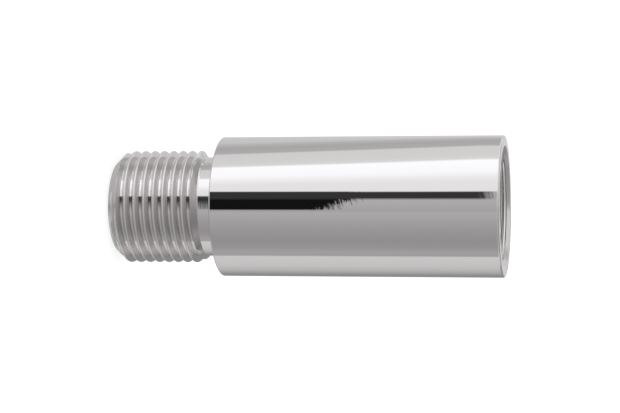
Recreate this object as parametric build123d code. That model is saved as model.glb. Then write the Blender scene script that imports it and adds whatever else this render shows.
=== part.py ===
from build123d import *
from build123d import SkipClean
import math
import os

os.makedirs("parts", exist_ok=True)

# Straight pipe extension with a half-inch parallel pipe thread, male at one end and female at
# the other. It is one piece, turned from brass bar. The axis is Z: the male end face is z = 0,
# what the part stands on, and the open mouth looks up. Lengths are in millimetres. The male
# thread is cut for real. The female one, out of sight in the mouth, is left at its tapping size.

# Barrel
barrel_diameter = 26.0
barrel_length = 52.5
shoulder_edge_radius = 0.4
mouth_edge_bevel = 0.3

# Half-inch parallel pipe thread, Whitworth form, flats in place of its tiny root and crest radii
thread_diameter = 20.955
thread_pitch = 25.4 / 14
flank_angle = 55.0
thread_depth = 0.6403 * thread_pitch
thread_flat = thread_pitch / 6

# Male stub
stub_length = 20.2
end_face_below_root = 0.8
neck_width = 3.0
neck_below_root = 0.07
groove_lead_in_turns = 1.25

# Female socket: a 45 degree countersink, a short plain lead-in as wide as the thread, and the
# tapping size, bored deeper than the thread's 15 mm for the tap's point
countersink_width = 0.65
plain_lead_in_depth = 1.3
socket_depth = 17.5
drill_point_angle = 118.0

# Waterway, with a hexagon at the male end for the key that screws the part in
waterway_diameter = 15.0
hexagon_across_flats = 12.0
hexagon_length = 24.0
hexagon_lead_in = 0.2

# Cutting: how far the thread's cutter stands clear of the crest, and the number of equal arcs in
# which the male land is turned, so that its crest is a row of short true-cylinder patches
cutter_clearance = 0.15
male_land_arcs = 6

# Radii worked out from the sizes above
barrel_radius = barrel_diameter / 2
thread_radius = thread_diameter / 2
root_radius = thread_radius - thread_depth
neck_radius = root_radius - neck_below_root
end_face_radius = root_radius - end_face_below_root
countersink_radius = thread_radius + countersink_width
waterway_radius = waterway_diameter / 2
pilot_radius = hexagon_across_flats / 2
lead_in_radius = pilot_radius / math.cos(math.radians(30)) + hexagon_lead_in

# Heights worked out from the sizes above
total_length = stub_length + barrel_length
male_land_start = thread_radius - end_face_radius
neck_start = stub_length - neck_width
male_land_end = neck_start - (thread_radius - neck_radius)
socket_start = total_length - socket_depth
plain_lead_in_start = total_length - plain_lead_in_depth
countersink_start = total_length - countersink_width

# Half width of a groove where its cutter leaves the metal
flank_slope = math.tan(math.radians(flank_angle / 2))
groove_half_width = thread_flat / 2 + (thread_depth + cutter_clearance) * flank_slope


def drill_cone_height(outer, inner):
    """Height of the cone that a drill's point leaves between two radii."""
    return (outer - inner) / math.tan(math.radians(drill_point_angle / 2))


def section_face(points):
    """A face in the plane of radius and height from its corners, for turning about Z."""
    return make_face(Polyline(*points, close=True))


def turned(face, arc=360.0):
    """Turns a section about Z."""
    return revolve(Plane.XZ * face, Axis.Z, arc)


def at_corner(face, radius, height):
    """The corner of a section nearest to this radius and height."""
    return face.vertices().sort_by_distance((radius, height, 0))[0]


def male_end():
    """Male end face with its 45 degree lead-in, up to where the threaded land begins."""
    corners = [(0, 0), (end_face_radius, 0), (thread_radius, male_land_start), (0, male_land_start)]
    return turned(section_face(corners))


def male_land():
    """Plug for the male thread, turned in equal arcs that stay separate faces."""
    step = 360.0 / male_land_arcs
    bottom, top = male_land_start, male_land_end
    corners = [(0, bottom), (thread_radius, bottom), (thread_radius, top), (0, top)]
    wedge = turned(section_face(corners), step)
    return [Rot(0, 0, step * turn) * wedge for turn in range(male_land_arcs)]


def neck_and_barrel():
    """Thread's end cone, neck, shoulder and barrel, solid through."""
    corners = [
        (0, male_land_end),
        (thread_radius, male_land_end),
        (neck_radius, neck_start),
        (neck_radius, stub_length),
        (barrel_radius, stub_length),
        (barrel_radius, total_length),
        (0, total_length),
    ]
    face = section_face(corners)
    face = fillet(at_corner(face, barrel_radius, stub_length), shoulder_edge_radius)
    face = chamfer(at_corner(face, barrel_radius, total_length), mouth_edge_bevel)
    return turned(face)


def bore():
    """Drilled waterway from the hexagon up, then the socket with its lead-in and countersink."""
    waterway_start = hexagon_length + drill_cone_height(waterway_radius, pilot_radius)
    waterway_end = socket_start - drill_cone_height(root_radius, waterway_radius)
    corners = [
        (0, hexagon_length),
        (pilot_radius, hexagon_length),
        (waterway_radius, waterway_start),
        (waterway_radius, waterway_end),
        (root_radius, socket_start),
        (root_radius, plain_lead_in_start),
        (thread_radius, plain_lead_in_start),
        (thread_radius, countersink_start),
        (countersink_radius, total_length),
        (0, total_length),
    ]
    return turned(section_face(corners))


def hexagon():
    """Broached hexagon for the key."""
    return extrude(RegularPolygon(pilot_radius, 6, major_radius=False), hexagon_length)


def hexagon_mouth():
    """45 degree cone in the male end face that leads the key into the hexagon."""
    depth = lead_in_radius - pilot_radius
    return turned(section_face([(0, 0), (lead_in_radius, 0), (pilot_radius, depth), (0, depth)]))


def male_groove():
    """Cutters for the male thread, each a little under one turn, laid end to end.

    The groove starts below the end face and runs out over the neck.
    """
    bottom = -groove_lead_in_turns * thread_pitch
    run = neck_start + groove_half_width - bottom
    count = math.ceil(run / thread_pitch)
    height = run / count
    turn = 360.0 * height / thread_pitch
    mouth_radius = thread_radius + cutter_clearance
    corners = [
        (root_radius, bottom - thread_flat / 2),
        (root_radius, bottom + thread_flat / 2),
        (mouth_radius, bottom + groove_half_width),
        (mouth_radius, bottom - groove_half_width),
    ]
    path = Helix(thread_pitch, height, root_radius, center=(0, 0, bottom))
    cutter = sweep(Plane.XZ * section_face(corners), path=path, is_frenet=True)
    return [Pos(0, 0, height * i) * Rot(0, 0, turn * i) * cutter for i in range(count)]


def extension():
    """The whole part. Faces are left as they are cut, so the male land keeps its arcs."""
    with SkipClean():
        body = male_end()
        for piece in [*male_land(), neck_and_barrel()]:
            body += piece
        for tool in [bore(), hexagon(), hexagon_mouth(), *male_groove()]:
            body -= tool
    return body.solid()


export_step(extension(), "parts/threaded_extension.step")
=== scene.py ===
"""Looks of the threaded pipe extension: one chrome-plated brass piece that stands on its male end.

The piece's skin is made afresh, ring by ring, and stands for the CAD node. Both threads are real
helical grooves in it, with rounded crests and flat roots. Lengths are in millimetres until the
skin becomes a mesh, which is in metres.
"""

import math

import bpy
import numpy as np
from mathutils import Matrix, Vector


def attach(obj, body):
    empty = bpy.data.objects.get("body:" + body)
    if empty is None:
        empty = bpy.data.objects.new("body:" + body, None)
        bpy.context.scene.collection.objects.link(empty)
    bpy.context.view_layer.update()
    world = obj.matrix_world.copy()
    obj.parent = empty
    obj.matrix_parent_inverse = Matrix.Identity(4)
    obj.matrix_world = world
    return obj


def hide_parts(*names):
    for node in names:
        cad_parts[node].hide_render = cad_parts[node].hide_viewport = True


MM = 0.001

# Barrel
BARREL_RADIUS = 13.0
TOTAL_LENGTH = 72.7
SHOULDER_EDGE_RADIUS = 0.25
MOUTH_EDGE_RADIUS = 0.3

# Half-inch parallel pipe thread: 55 degrees, with the standard's rounding on the crests
THREAD_RADIUS = 20.955 / 2
PITCH = 25.4 / 14
THREAD_DEPTH = 0.6403 * PITCH
CREST_ROUNDING = 0.1373 * PITCH
ROOT_FLAT = PITCH / 6
FLANK_LEAN = math.radians(27.5)
ROOT_RADIUS = THREAD_RADIUS - THREAD_DEPTH

# Male stub. The groove starts below the end face and runs out over the neck
STUB_LENGTH = 20.2
NECK_WIDTH = 3.0
NECK_BELOW_ROOT = 0.07
NECK_FILLET = 0.1
END_FACE_BELOW_ROOT = 0.8
MALE_GROOVE_START = -1.25 * PITCH
NECK_START = STUB_LENGTH - NECK_WIDTH
NECK_RADIUS = ROOT_RADIUS - NECK_BELOW_ROOT
END_FACE_RADIUS = ROOT_RADIUS - END_FACE_BELOW_ROOT
MALE_LAND_END = NECK_START - (THREAD_RADIUS - NECK_RADIUS)

# Mouth: a 45 degree countersink, then a plain lead-in of two bands, the inner one narrower by the
# flare. The bands are the thin light and dark lines inside the far rim
COUNTERSINK_WIDTH = 0.65
LEAD_IN_DEPTH = 1.3
LEAD_IN_BAND = 0.2
LEAD_IN_FLARE = 0.06
COUNTERSINK_START = TOTAL_LENGTH - COUNTERSINK_WIDTH
LEAD_IN_START = TOTAL_LENGTH - LEAD_IN_DEPTH

# Female thread, from the lead-in down to where it runs out. The start of its groove sets the angle
# at which the first turn opens into the lead-in. Then the socket goes on to the drill's cone
FEMALE_GROOVE_START = TOTAL_LENGTH - 1.5 - 8.75 * PITCH
FEMALE_THREAD_END = TOTAL_LENGTH - 15.0
FEMALE_RUNOUT = 1.5
SOCKET_START = TOTAL_LENGTH - 17.5
DRILL_SLOPE = math.tan(math.radians(59))

# Waterway and key hexagon
WATERWAY_RADIUS = 7.5
HEXAGON_HALF_WIDTH = 6.0
HEXAGON_LENGTH = 24.0
KEY_LEAD_IN_RADIUS = HEXAGON_HALF_WIDTH / math.cos(math.radians(30)) + 0.2

# Steps round the skin: a multiple of six, so that the hexagon's corners fall on one. A narrow ring
# beside each rounding keeps the long face next to it straight in the shading
STEPS = 216
ANGLES = np.arange(STEPS) * math.tau / STEPS
EDGE_RING = 0.04
SHARP_EDGE = math.radians(35)

# Marks on the plated metal: how far round the part a tool's ring keeps its depth, and the size of
# the patches in which handling and the plating bath vary the gloss
RING_REACH = 16.7
GLOSS_PATCH = 2.86

# Paper under the part, and the glow that keeps it white to the camera. Its tooth, really about
# 0.2 mm, is drawn ten times as coarse to show
FLOOR_REACH = 6000.0
PAPER_TOOTH = 2.0
PAPER_TOOTH_DEPTH = 0.05
PAPER_GLOW = 0.74

# Camera, in metres and radians: a little higher than the mouth, looking down at the part's middle.
# It lies on its side, so that the standing part lies across the picture
CAMERA_DISTANCE = 0.3432189
CAMERA_HEIGHT = 0.1027938
CAMERA_DIP = 0.1909
LENS_MM = 109.17

# The studio that the metal mirrors is a painted reflection: a set of cards round the axis, by
# direction, which only glossy rays see, so that the cards light nothing. Angles are in degrees
# from the camera's side towards the picture's top, and a level of 1 is the brightest card.
# Heights are those of a unit direction: 1 is straight up and 0 is level
BRIGHTEST_PAINTED_CARD = 1.4
COOL_FROM = 0.7
COOLNESS = 0.1

# Painted reflection of cards that stand about level, which the barrel mirrors
PAINTED_STANDING_CARD_REFLECTIONS = [
    (-180, 0.24),
    (-156, 0.22),
    (-149, 0.24),
    (-139, 0.33),
    (-128, 0.43),
    (-113, 0.52),
    (-90, 0.56),
    (-87.5, 0.33),
    (-80, 0.34),
    (-70, 0.29),
    (-58, 0.27),
    (-40, 0.30),
    (-25, 0.34),
    (-10, 0.39),
    (-8, 0.35),
    (5, 0.39),
    (23, 0.42),
    (25, 0.74),
    (42, 0.75),
    (50, 0.83),
    (60, 0.94),
    (80, 0.98),
    (84, 0.66),
    (92, 0.62),
    (114, 0.60),
    (118, 0.40),
    (134, 0.37),
    (146, 0.43),
    (158, 0.52),
    (180, 0.50),
]

# Painted reflection of cards lying on the table, which the thread's lower flanks mirror
PAINTED_TABLE_CARD_REFLECTIONS = [
    (-180, 0.27),
    (-157, 0.40),
    (-145, 0.50),
    (-130, 0.22),
    (-120, 0.22),
    (-104, 0.31),
    (-88, 0.37),
    (-76, 0.30),
    (-60, 0.25),
    (-20, 0.31),
    (0, 0.36),
    (26, 0.43),
    (40, 0.50),
    (80, 0.56),
    (92, 0.52),
    (105, 0.40),
    (160, 0.40),
    (180, 0.27),
]
TABLE_FROM = -0.35
TABLE_FULL = -0.5

# Painted reflection of windows above the cards, which the thread's crests and the mouth's rim
# mirror
PAINTED_WINDOW_REFLECTIONS = [
    (-180, 0.50),
    (-177, 0.50),
    (-172, 0.22),
    (-118, 0.24),
    (-104, 0.55),
    (-84, 0.55),
    (-70, 0.42),
    (-20, 0.42),
    (10, 0.62),
    (35, 0.72),
    (140, 0.72),
    (160, 0.50),
    (180, 0.50),
]
SILL_FROM = 0.0
SILL_FULL = 0.08
HEAD_FULL = 0.36
HEAD_FROM = 0.46

# Painted reflection of a ceiling, which the thread's upper flanks and the countersink mirror
PAINTED_CEILING_REFLECTION = [
    (-180, 0.25),
    (-165, 0.20),
    (-120, 0.26),
    (-60, 0.30),
    (0, 0.38),
    (60, 0.56),
    (125, 0.56),
    (145, 0.36),
    (180, 0.25),
]
CEILING_FROM = 0.5
CEILING_FULL = 0.75

# How far the painted standing cards on the picture's upper side lean towards the camera's side
# lower down
LEAN_FROM = -0.1
LEAN_FULL = -0.3
LEAN = 0.316

# Painted reflection of a black flag with a bristly end: the dark band along the barrel. Above its
# slanting end and below its foot only a strip of it, a little less black, is left
PAINTED_FLAG_REFLECTION_BLACK = "#121213"
FLAG_SIDE = -5.5
FLAG_FAR_SIDE = 23.8
FLAG_SIDE_SOFTNESS = 1.0
FLAG_END_AT_SIDE = -0.1825
FLAG_END_AT_STRIP = -0.167
FLAG_END_SOFTNESS = 0.001
FLAG_FOOT = -0.2425

# Painted reflection: the strip of the flag, a little less black
PAINTED_STRIP_REFLECTION_BLACK = "#323232"
STRIP_SIDE = 12.0
STRIP_SIDE_SOFTNESS = 1.8
STRIP_END = -0.0955
STRIP_END_SOFTNESS = 0.004
STRIP_FOOT = -0.36
STRIP_FOOT_FULL = -0.35

# The bristles: their width and lean as heights, and how far they reach at each end. Below the
# flag's foot the strip's side has them too, in degrees, and is softer
BRISTLE_WIDTH = 0.0008
BRISTLE_LEAN = 0.0001
FLAG_END_BRISTLES = 0.035
STRIP_END_BRISTLES = 0.012
STRIP_SIDE_BRISTLES = 9.0
FOOT_SIDE_SOFTNESS = 14.0

# Sockets of the colour mix, which share their names with its number mix
MIX_SHARE = 0
MIX_UNDER = 6
MIX_OVER = 7
MIX_RESULT = 2


def linear(hex_colour):
    """An sRGB hex colour as linear red, green, blue and alpha."""
    levels = [int(hex_colour[i : i + 2], 16) / 255 for i in (1, 3, 5)]
    return [x / 12.92 if x <= 0.04045 else ((x + 0.055) / 1.055) ** 2.4 for x in levels] + [1.0]


def add(tree, kind, inputs=(), **settings):
    """A node with its settings. inputs are (socket, value) pairs, where the value may be an output.

    A node given as the value stands for its first output.
    """
    made = tree.nodes.new(kind)
    for name, value in settings.items():
        setattr(made, name, value)
    for socket, value in inputs:
        if isinstance(value, bpy.types.Node):
            value = value.outputs[0]
        if isinstance(value, bpy.types.NodeSocket):
            tree.links.new(value, made.inputs[socket])
        else:
            made.inputs[socket].default_value = value
    return made


# Skin: points ring by ring, and faces with the number of their finish
skin_points = []
skin_faces = []
skin_finishes = []
CHROME, THREAD, NECK, BORE = range(4)


def add_ring(radius, height):
    """A ring of points. radius may be one value or one for each step."""
    first = len(skin_points)
    radii = np.broadcast_to(radius, STEPS)
    heights = np.broadcast_to(height, STEPS)
    skin_points.extend(zip(radii * np.cos(ANGLES), radii * np.sin(ANGLES), heights))
    return np.arange(first, first + STEPS)


def join(ring, following, finish):
    """The band of faces from one ring to the next along the section."""
    turned_on = np.roll(ring, -1)
    following_on = np.roll(following, -1)
    skin_faces.extend(np.stack([ring, turned_on, following_on, following], axis=1).tolist())
    skin_finishes.extend([finish] * STEPS)


def follow(ring, section, finish):
    """Rings through a section's (radius, height) pairs, each joined to the one before."""
    for radius, height in section:
        following = add_ring(radius, height)
        join(ring, following, finish)
        ring = following
    return ring


def arc(centre, radius, start, end, steps):
    """Points of an arc in the section, from the start angle to the end angle in degrees."""
    turns = [math.radians(start + (end - start) * i / steps) for i in range(1, steps + 1)]
    return [(centre[0] + radius * math.cos(t), centre[1] + radius * math.sin(t)) for t in turns]


def thread_section():
    """One pitch of the thread from a groove's middle: shares of the pitch, and rises in mm."""
    root_along = np.array([-ROOT_FLAT / 2, ROOT_FLAT / 2])
    root_rise = np.zeros(2)
    reach = math.pi / 2 - FLANK_LEAN
    sweep = np.linspace(-reach, reach, 7)
    crest_along = PITCH / 2 + CREST_ROUNDING * np.sin(sweep)
    crest_rise = THREAD_DEPTH - CREST_ROUNDING * (1 - np.cos(sweep))
    # a point close below the crest's rounding keeps the flank straight in the shading
    share = np.array([0.5, 0.97])
    up_along = root_along[-1] + (crest_along[0] - root_along[-1]) * share
    up_rise = crest_rise[0] * share
    along = np.concatenate([root_along, up_along, crest_along, PITCH - up_along[::-1]])
    rise = np.concatenate([root_rise, up_rise, crest_rise, up_rise[::-1]])
    return along / PITCH, rise


def add_thread(below, above, groove_start, radius_at, finish, inside=False):
    """Helical rows of faces between two rings. radius_at gives the radius from rise and height."""
    shares, rises = thread_section()
    per_turn = len(shares)
    bottom = skin_points[below[0]][2]
    top = skin_points[above[0]][2]
    first = math.floor((bottom - groove_start) / PITCH) - 2
    last = math.ceil((top - groove_start) / PITCH) + 2
    rows = np.arange(first * per_turn, last * per_turn)
    place = rows % per_turn
    turns = rows // per_turn + shares[place]
    heights = groove_start + PITCH * (turns[:, None] + ANGLES[None, :] / math.tau)
    radii = radius_at(rises[place][:, None], heights)
    numbers = np.where(heights <= bottom, below[None, :], above[None, :])
    cut = (heights > bottom) & (heights < top)
    numbers[cut] = len(skin_points) + np.arange(cut.sum())
    steps_round = np.broadcast_to(ANGLES, heights.shape)[cut]
    skin_points.extend(
        zip(radii[cut] * np.cos(steps_round), radii[cut] * np.sin(steps_round), heights[cut])
    )
    # a row ends where the row one pitch higher begins
    wrapped = np.concatenate([numbers[per_turn:, :1], np.full((per_turn, 1), above[0])])
    numbers = np.concatenate([numbers, wrapped], axis=1)
    corners = [numbers[:-1, :-1], numbers[:-1, 1:], numbers[1:, 1:], numbers[1:, :-1]]
    for a, b, c, d in np.stack(corners, axis=-1).reshape(-1, 4).tolist():
        face = [a, b] + [c] * (c != b) + [d] * (d != a)
        if len(face) > 2:
            skin_faces.append(face[::-1] if inside else face)
            skin_finishes.append(finish)


def thread_rim(groove_start, height):
    """Radius of the thread at one height, at each step."""
    shares, rises = thread_section()
    turns = (height - groove_start) / PITCH - ANGLES / math.tau
    return ROOT_RADIUS + np.interp(turns % 1, shares, rises, period=1)


def male_radius(rise, height):
    """Male thread within its blank: 45 degree lead-in below, 45 degree end cone above."""
    blank = np.minimum(END_FACE_RADIUS + height, THREAD_RADIUS - (height - MALE_LAND_END))
    return np.minimum(ROOT_RADIUS + rise, blank)


def female_radius(rise, height):
    """Female thread from the plain lead-in to where the tap's own lead lets it run out."""
    depth_left = np.clip((height - FEMALE_THREAD_END + FEMALE_RUNOUT) / FEMALE_RUNOUT, 0, 1)
    return ROOT_RADIUS + rise * depth_left


def hexagon_radius():
    """Distance from the axis to the key hexagon's side at each step."""
    sixth = math.tau / 6
    return HEXAGON_HALF_WIDTH / np.cos(ANGLES % sixth - sixth / 2)


def make_stub(key_lead_in):
    """Male end face, thread and neck, up to the foot of the shoulder."""
    end_face = follow(key_lead_in, [(END_FACE_RADIUS, 0.0)], THREAD)
    neck_bottom = add_ring(NECK_RADIUS, NECK_START)
    add_thread(end_face, neck_bottom, MALE_GROOVE_START, male_radius, THREAD)
    fillet_start = STUB_LENGTH - NECK_FILLET
    neck = [
        (NECK_RADIUS, NECK_START + EDGE_RING),
        (NECK_RADIUS, fillet_start - EDGE_RING),
        (NECK_RADIUS, fillet_start),
        *arc((NECK_RADIUS + NECK_FILLET, fillet_start), NECK_FILLET, 180, 90, 5),
    ]
    return follow(neck_bottom, neck, NECK)


def make_barrel(shoulder_root):
    """Shoulder and barrel, with both rounded edges, up to the mouth's flat rim."""
    shoulder_edge = BARREL_RADIUS - SHOULDER_EDGE_RADIUS
    side_start = STUB_LENGTH + SHOULDER_EDGE_RADIUS
    mouth_edge = BARREL_RADIUS - MOUTH_EDGE_RADIUS
    side_end = TOTAL_LENGTH - MOUTH_EDGE_RADIUS
    barrel = [
        (shoulder_edge, STUB_LENGTH),
        *arc((shoulder_edge, side_start), SHOULDER_EDGE_RADIUS, -90, 0, 6),
        (BARREL_RADIUS, side_start + EDGE_RING),
        (BARREL_RADIUS, side_end - EDGE_RING),
        (BARREL_RADIUS, side_end),
        *arc((mouth_edge, side_end), MOUTH_EDGE_RADIUS, 0, 90, 5),
    ]
    return follow(shoulder_root, barrel, CHROME)


def make_mouth(rim):
    """Flat rim, countersink and plain lead-in, down to where the female thread begins."""
    outer_band_end = COUNTERSINK_START - LEAD_IN_BAND
    inner_band_start = LEAD_IN_START + LEAD_IN_BAND
    narrow_radius = THREAD_RADIUS - LEAD_IN_FLARE
    mouth = [
        (THREAD_RADIUS + COUNTERSINK_WIDTH, TOTAL_LENGTH),
        (THREAD_RADIUS, COUNTERSINK_START),
        (THREAD_RADIUS, outer_band_end + EDGE_RING),
        (THREAD_RADIUS, outer_band_end),
        (narrow_radius, inner_band_start),
        (narrow_radius, inner_band_start - EDGE_RING),
        (narrow_radius, LEAD_IN_START),
    ]
    lead_in_end = follow(rim, mouth, THREAD)
    thread_top = add_ring(thread_rim(FEMALE_GROOVE_START, LEAD_IN_START), LEAD_IN_START)
    join(lead_in_end, thread_top, THREAD)
    return thread_top


def make_bore(thread_top, key_lead_in):
    """Female thread, waterway and key hexagon, back to the hexagon's lead-in."""
    socket_bottom = add_ring(ROOT_RADIUS, SOCKET_START)
    add_thread(socket_bottom, thread_top, FEMALE_GROOVE_START, female_radius, BORE, inside=True)
    waterway_end = SOCKET_START - (ROOT_RADIUS - WATERWAY_RADIUS) / DRILL_SLOPE
    waterway_start = HEXAGON_LENGTH + (WATERWAY_RADIUS - HEXAGON_HALF_WIDTH) / DRILL_SLOPE
    lead_in_depth = KEY_LEAD_IN_RADIUS - HEXAGON_HALF_WIDTH
    lead_in_heights = np.linspace(lead_in_depth, 0, 9)[1:-1]
    sides = hexagon_radius()
    bore = [
        (WATERWAY_RADIUS, waterway_end),
        (WATERWAY_RADIUS, waterway_start),
        (HEXAGON_HALF_WIDTH, HEXAGON_LENGTH),
        (sides, HEXAGON_LENGTH),
        (sides, lead_in_depth),
        *[(np.maximum(sides, KEY_LEAD_IN_RADIUS - z), z) for z in lead_in_heights],
    ]
    hexagon_end = follow(socket_bottom, bore, BORE)
    join(hexagon_end, key_lead_in, BORE)


def make_skin(finishes):
    """The closed skin, round the outside and back through the bore, as a mesh in metres."""
    key_lead_in = add_ring(KEY_LEAD_IN_RADIUS, 0.0)
    shoulder_root = make_stub(key_lead_in)
    rim = make_barrel(shoulder_root)
    thread_top = make_mouth(rim)
    make_bore(thread_top, key_lead_in)
    mesh = bpy.data.meshes.new("threaded_extension_skin")
    mesh.from_pydata([tuple(c * MM for c in point) for point in skin_points], [], skin_faces)
    for finish in finishes:
        mesh.materials.append(finish)
    mesh.polygons.foreach_set("material_index", skin_finishes)
    mesh.polygons.foreach_set("use_smooth", [True] * len(mesh.polygons))
    mesh.set_sharp_from_angle(angle=SHARP_EDGE)
    mesh.validate()
    made = bpy.data.objects.new("threaded_extension_skin", mesh)
    bpy.context.collection.objects.link(made)
    return made


def turned_metal(name, colour, roughness, gloss_spread, ring_spacing, ring_depth):
    """Plated metal with the fine rings that a tool leaves across the axis, their sizes in mm.

    The rings draw highlights out into soft streaks, and the patches make the gloss uneven.
    """
    material = bpy.data.materials.new(name)
    material.use_nodes = True
    tree = material.node_tree
    tree.nodes.clear()
    place = add(tree, "ShaderNodeTexCoord").outputs["Object"]
    across = 1 / (RING_REACH * MM)
    along = 1 / (ring_spacing * MM)
    squeezed = add(
        tree, "ShaderNodeMapping", [("Vector", place), ("Scale", (across, across, along))]
    )
    rings = add(tree, "ShaderNodeTexNoise", [("Vector", squeezed), ("Scale", 1.0), ("Detail", 3.0)])
    bump = add(
        tree,
        "ShaderNodeBump",
        [("Height", rings), ("Strength", 1.0), ("Distance", ring_depth * MM)],
    )
    patches = add(
        tree,
        "ShaderNodeTexNoise",
        [("Vector", place), ("Scale", 1 / (GLOSS_PATCH * MM)), ("Detail", 4.0)],
    )
    rough = add(
        tree,
        "ShaderNodeMapRange",
        [
            ("Value", patches),
            ("From Min", 0.3),
            ("From Max", 0.7),
            ("To Min", roughness - gloss_spread),
            ("To Max", roughness + gloss_spread),
        ],
    )
    surface = add(
        tree,
        "ShaderNodeBsdfPrincipled",
        [
            ("Base Color", linear(colour)),
            ("Metallic", 1.0),
            ("Roughness", rough),
            ("Normal", bump),
        ],
    )
    add(tree, "ShaderNodeOutputMaterial", [("Surface", surface)])
    return material


def polished_chrome():
    """Bright chrome plate, buffed: a near-mirror, slightly warm.

    The buffing wheel's long shallow waves, 2.5 mm apart, bend the painted cards' edges a little.
    """
    return turned_metal("polished_chrome", "#dfdcdc", 0.012, 0.005, 2.5, 0.0006)


def plated_thread():
    """Chrome plate on a thread cut by a die, which no wheel reaches: satin, with softer edges.

    The tool's marks, really under 0.1 mm apart, are drawn at 0.12 mm to show as a fine grain.
    """
    return turned_metal("plated_thread", "#dedbdb", 0.09, 0.03, 0.12, 0.0008)


def turned_neck():
    """Chrome plate on the neck as turned: satin, with the tool's rings, which streak highlights.

    The feed, really about 0.1 mm a turn, is drawn at 0.2 mm to show.
    """
    return turned_metal("turned_neck", "#dedbdb", 0.07, 0.03, 0.2, 0.0016)


def plated_bore():
    """Thin plating in a tapped and drilled bore: dull, so that the inside is a soft grey."""
    return turned_metal("plated_bore", "#dad7d6", 0.32, 0.06, 0.15, 0.0016)


def studio_direction(tree):
    """Where a ray goes: degrees round the axis from the camera's side, and the height."""
    place = add(tree, "ShaderNodeTexCoord").outputs["Generated"]
    x, y, height = add(tree, "ShaderNodeSeparateXYZ", [("Vector", place)]).outputs
    upward = add(tree, "ShaderNodeMath", [(0, x), (1, -1.0)], operation="MULTIPLY")
    to_camera = add(tree, "ShaderNodeMath", [(0, y), (1, -1.0)], operation="MULTIPLY")
    turn = add(tree, "ShaderNodeMath", [(0, upward), (1, to_camera)], operation="ARCTAN2")
    return add(tree, "ShaderNodeMath", [(0, turn)], operation="DEGREES"), height


def painted_card_reflection_ring(tree, degrees, painted_cards):
    """Painted reflection: a ring of cards that blend into each other. The bright ones are a little
    cool.
    """
    share = add(
        tree,
        "ShaderNodeMapRange",
        [("Value", degrees), ("From Min", -180.0), ("From Max", 180.0)],
    )
    ring = add(tree, "ShaderNodeValToRGB", [("Fac", share)])
    stops = ring.color_ramp.elements
    while len(stops) < len(painted_cards):
        stops.new(0.5)
    for stop, (angle, level) in zip(stops, painted_cards):
        stop.position = (angle + 180) / 360
        cool = max(0.0, level - COOL_FROM) * COOLNESS
        stop.color = (level - cool, level, level + cool, 1.0)
    return ring


def within(tree, limits):
    """1 inside all limits and 0 outside any. Each is a number, where it is 0, and where it is 1."""
    inside = 1.0
    for number, none, full in limits:
        passed = add(
            tree, "ShaderNodeMapRange", [("Value", number), ("From Min", none), ("From Max", full)]
        )
        inside = add(tree, "ShaderNodeMath", [(0, inside), (1, passed)], operation="MULTIPLY")
    return inside


def leaning_degrees(tree, degrees, height):
    """Degrees for the painted standing cards, turned so that those on the upper side lean."""
    low = within(tree, [(height, LEAN_FROM, LEAN_FULL)])
    on_upper_side = add(tree, "ShaderNodeMath", [(0, degrees), (1, 0.0)], operation="MAXIMUM")
    leaning = add(tree, "ShaderNodeMath", [(0, low), (1, on_upper_side)], operation="MULTIPLY")
    return add(
        tree, "ShaderNodeMath", [(0, leaning), (1, LEAN), (2, degrees)], operation="MULTIPLY_ADD"
    )


def bristles(tree, degrees, height):
    """How far each bristle reaches past its edge, from -0.5 to 0.5, in rows that lean a little."""
    place = add(
        tree,
        "ShaderNodeMath",
        [(0, degrees), (1, BRISTLE_LEAN), (2, height)],
        operation="MULTIPLY_ADD",
    )
    lengths = add(
        tree,
        "ShaderNodeTexNoise",
        [("W", place), ("Scale", 1 / BRISTLE_WIDTH), ("Detail", 1.0)],
        noise_dimensions="1D",
    )
    return add(tree, "ShaderNodeMath", [(0, lengths), (1, 0.5)], operation="SUBTRACT")


def painted_flag_and_strip_reflections(tree, degrees, height):
    """Where the painted reflection of the black flag is, and where its strip is."""
    reach = bristles(tree, degrees, height)
    slanting_end = add(
        tree,
        "ShaderNodeMapRange",
        [
            ("Value", degrees),
            ("From Min", FLAG_SIDE),
            ("From Max", STRIP_SIDE),
            ("To Min", FLAG_END_AT_SIDE),
            ("To Max", FLAG_END_AT_STRIP),
        ],
    )
    flag_end = add(
        tree,
        "ShaderNodeMath",
        [(0, reach), (1, FLAG_END_BRISTLES), (2, slanting_end)],
        operation="MULTIPLY_ADD",
    )
    past_flag_end = add(tree, "ShaderNodeMath", [(0, height), (1, flag_end)], operation="SUBTRACT")
    past_strip_end = add(
        tree,
        "ShaderNodeMath",
        [(0, reach), (1, STRIP_END_BRISTLES), (2, height)],
        operation="MULTIPLY_ADD",
    )
    below_foot = within(tree, [(height, FLAG_FOOT, FLAG_FOOT - FLAG_END_SOFTNESS)])
    foot_reach = add(tree, "ShaderNodeMath", [(0, below_foot), (1, reach)], operation="MULTIPLY")
    past_strip_side = add(
        tree,
        "ShaderNodeMath",
        [(0, foot_reach), (1, STRIP_SIDE_BRISTLES), (2, degrees)],
        operation="MULTIPLY_ADD",
    )
    strip_side_from = add(
        tree,
        "ShaderNodeMath",
        [(0, below_foot), (1, -FOOT_SIDE_SOFTNESS), (2, STRIP_SIDE - STRIP_SIDE_SOFTNESS)],
        operation="MULTIPLY_ADD",
    )
    far_side = (degrees, FLAG_FAR_SIDE + FLAG_SIDE_SOFTNESS, FLAG_FAR_SIDE - FLAG_SIDE_SOFTNESS)
    painted_flag_share = within(
        tree,
        [
            far_side,
            (degrees, FLAG_SIDE - FLAG_SIDE_SOFTNESS, FLAG_SIDE + FLAG_SIDE_SOFTNESS),
            (past_flag_end, FLAG_END_SOFTNESS, -FLAG_END_SOFTNESS),
            (height, FLAG_FOOT - FLAG_END_SOFTNESS, FLAG_FOOT),
        ],
    )
    painted_strip_share = within(
        tree,
        [
            far_side,
            (past_strip_side, strip_side_from, STRIP_SIDE + STRIP_SIDE_SOFTNESS),
            (past_strip_end, STRIP_END + STRIP_END_SOFTNESS, STRIP_END - STRIP_END_SOFTNESS),
            (height, STRIP_FOOT, STRIP_FOOT_FULL),
        ],
    )
    return painted_flag_share, painted_strip_share


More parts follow.
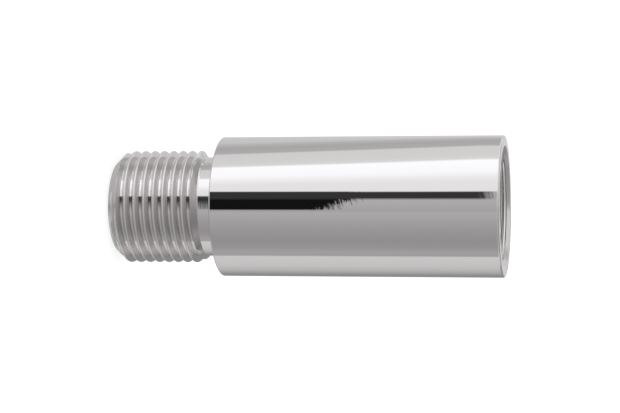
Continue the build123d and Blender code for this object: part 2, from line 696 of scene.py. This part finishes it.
def make_white_light_and_painted_reflections():
    """Light by direction: white for plain surfaces and the camera, painted cards for the metal."""
    world = bpy.data.worlds.new("white_light_and_painted_reflections")
    bpy.context.scene.world = world
    world.use_nodes = True
    tree = world.node_tree
    tree.nodes.clear()
    degrees, height = studio_direction(tree)
    painted_flag_share, painted_strip_share = painted_flag_and_strip_reflections(tree, degrees, height)
    overlays = [
        (
            within(tree, [(height, CEILING_FROM, CEILING_FULL)]),
            painted_card_reflection_ring(tree, degrees, PAINTED_CEILING_REFLECTION),
        ),
        (
            within(tree, [(height, TABLE_FROM, TABLE_FULL)]),
            painted_card_reflection_ring(tree, degrees, PAINTED_TABLE_CARD_REFLECTIONS),
        ),
        (
            within(tree, [(height, SILL_FROM, SILL_FULL), (height, HEAD_FROM, HEAD_FULL)]),
            painted_card_reflection_ring(tree, degrees, PAINTED_WINDOW_REFLECTIONS),
        ),
        # Painted reflection of the black flag and its strip
        (painted_flag_share, linear(PAINTED_FLAG_REFLECTION_BLACK)),
        (painted_strip_share, linear(PAINTED_STRIP_REFLECTION_BLACK)),
    ]
    # Painted reflection: the standing cards, with the other painted cards laid over them
    painted_cards = painted_card_reflection_ring(tree, leaning_degrees(tree, degrees, height), PAINTED_STANDING_CARD_REFLECTIONS).outputs[0]
    for share, overlay in overlays:
        painted_cards = add(
            tree,
            "ShaderNodeMix",
            [(MIX_SHARE, share), (MIX_UNDER, painted_cards), (MIX_OVER, overlay)],
            data_type="RGBA",
        ).outputs[MIX_RESULT]
    # The painted reflection goes only to glossy rays; the camera and other rays get plain white
    painted_reflection = add(tree, "ShaderNodeBackground", [("Color", painted_cards), ("Strength", BRIGHTEST_PAINTED_CARD)])
    plain = add(tree, "ShaderNodeBackground", [("Color", linear("#ffffff")), ("Strength", 1.0)])
    glossy = add(tree, "ShaderNodeLightPath").outputs["Is Glossy Ray"]
    seen = add(tree, "ShaderNodeMixShader", [(0, glossy), (1, plain), (2, painted_reflection)])
    add(tree, "ShaderNodeOutputWorld", [("Surface", seen)])


def white_paper():
    """Matt white paper, uncoated: a soft shadow lies on it, and its glow keeps it white."""
    material = bpy.data.materials.new("white_paper")
    material.use_nodes = True
    tree = material.node_tree
    tree.nodes.clear()
    place = add(tree, "ShaderNodeTexCoord").outputs["Object"]
    tooth = add(
        tree,
        "ShaderNodeTexNoise",
        [("Vector", place), ("Scale", 1 / (PAPER_TOOTH * MM)), ("Detail", 2.0)],
    )
    bump = add(
        tree,
        "ShaderNodeBump",
        [("Height", tooth), ("Strength", 0.2), ("Distance", PAPER_TOOTH_DEPTH * MM)],
    )
    paper = add(
        tree,
        "ShaderNodeBsdfPrincipled",
        [
            ("Base Color", linear("#a2a2a2")),
            ("Roughness", 0.9),
            ("Normal", bump),
            ("Emission Color", linear("#ffffff")),
            ("Emission Strength", PAPER_GLOW),
        ],
    )
    add(tree, "ShaderNodeOutputMaterial", [("Surface", paper)])
    return material


def make_floor():
    """Paper under the part. The metal doesn't mirror it, because the painted cards go lower."""
    bpy.ops.mesh.primitive_plane_add(size=2 * FLOOR_REACH * MM)
    floor = bpy.context.object
    floor.name = "white_paper_floor"
    floor.visible_glossy = False
    floor.data.materials.append(white_paper())
    return floor


def make_camera():
    """Camera on its side: the picture's right is up the part, and its top looks to -X."""
    camera = bpy.data.objects.new("camera", bpy.data.cameras.new("camera"))
    bpy.context.collection.objects.link(camera)
    right = Vector((0, math.sin(CAMERA_DIP), math.cos(CAMERA_DIP)))
    up = Vector((-1, 0, 0))
    back = Vector((0, -math.cos(CAMERA_DIP), math.sin(CAMERA_DIP)))
    turned = Matrix((right, up, back)).transposed().to_4x4()
    camera.matrix_world = Matrix.Translation((0, -CAMERA_DISTANCE, CAMERA_HEIGHT)) @ turned
    camera.data.sensor_fit = "HORIZONTAL"
    camera.data.sensor_width = 36
    camera.data.lens = LENS_MM
    camera.data.clip_end = 20
    bpy.context.scene.camera = camera


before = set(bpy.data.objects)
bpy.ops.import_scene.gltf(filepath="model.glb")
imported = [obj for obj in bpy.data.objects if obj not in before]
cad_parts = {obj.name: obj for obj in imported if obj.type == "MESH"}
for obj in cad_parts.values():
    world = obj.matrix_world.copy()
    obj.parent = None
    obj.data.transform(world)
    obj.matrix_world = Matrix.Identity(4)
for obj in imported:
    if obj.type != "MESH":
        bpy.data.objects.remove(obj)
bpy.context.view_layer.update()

skin = make_skin([polished_chrome(), plated_thread(), turned_neck(), plated_bore()])
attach(skin, "root")
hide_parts("threaded_extension")
make_floor()
make_white_light_and_painted_reflections()
make_camera()
bpy.context.scene.view_settings.view_transform = "Standard"
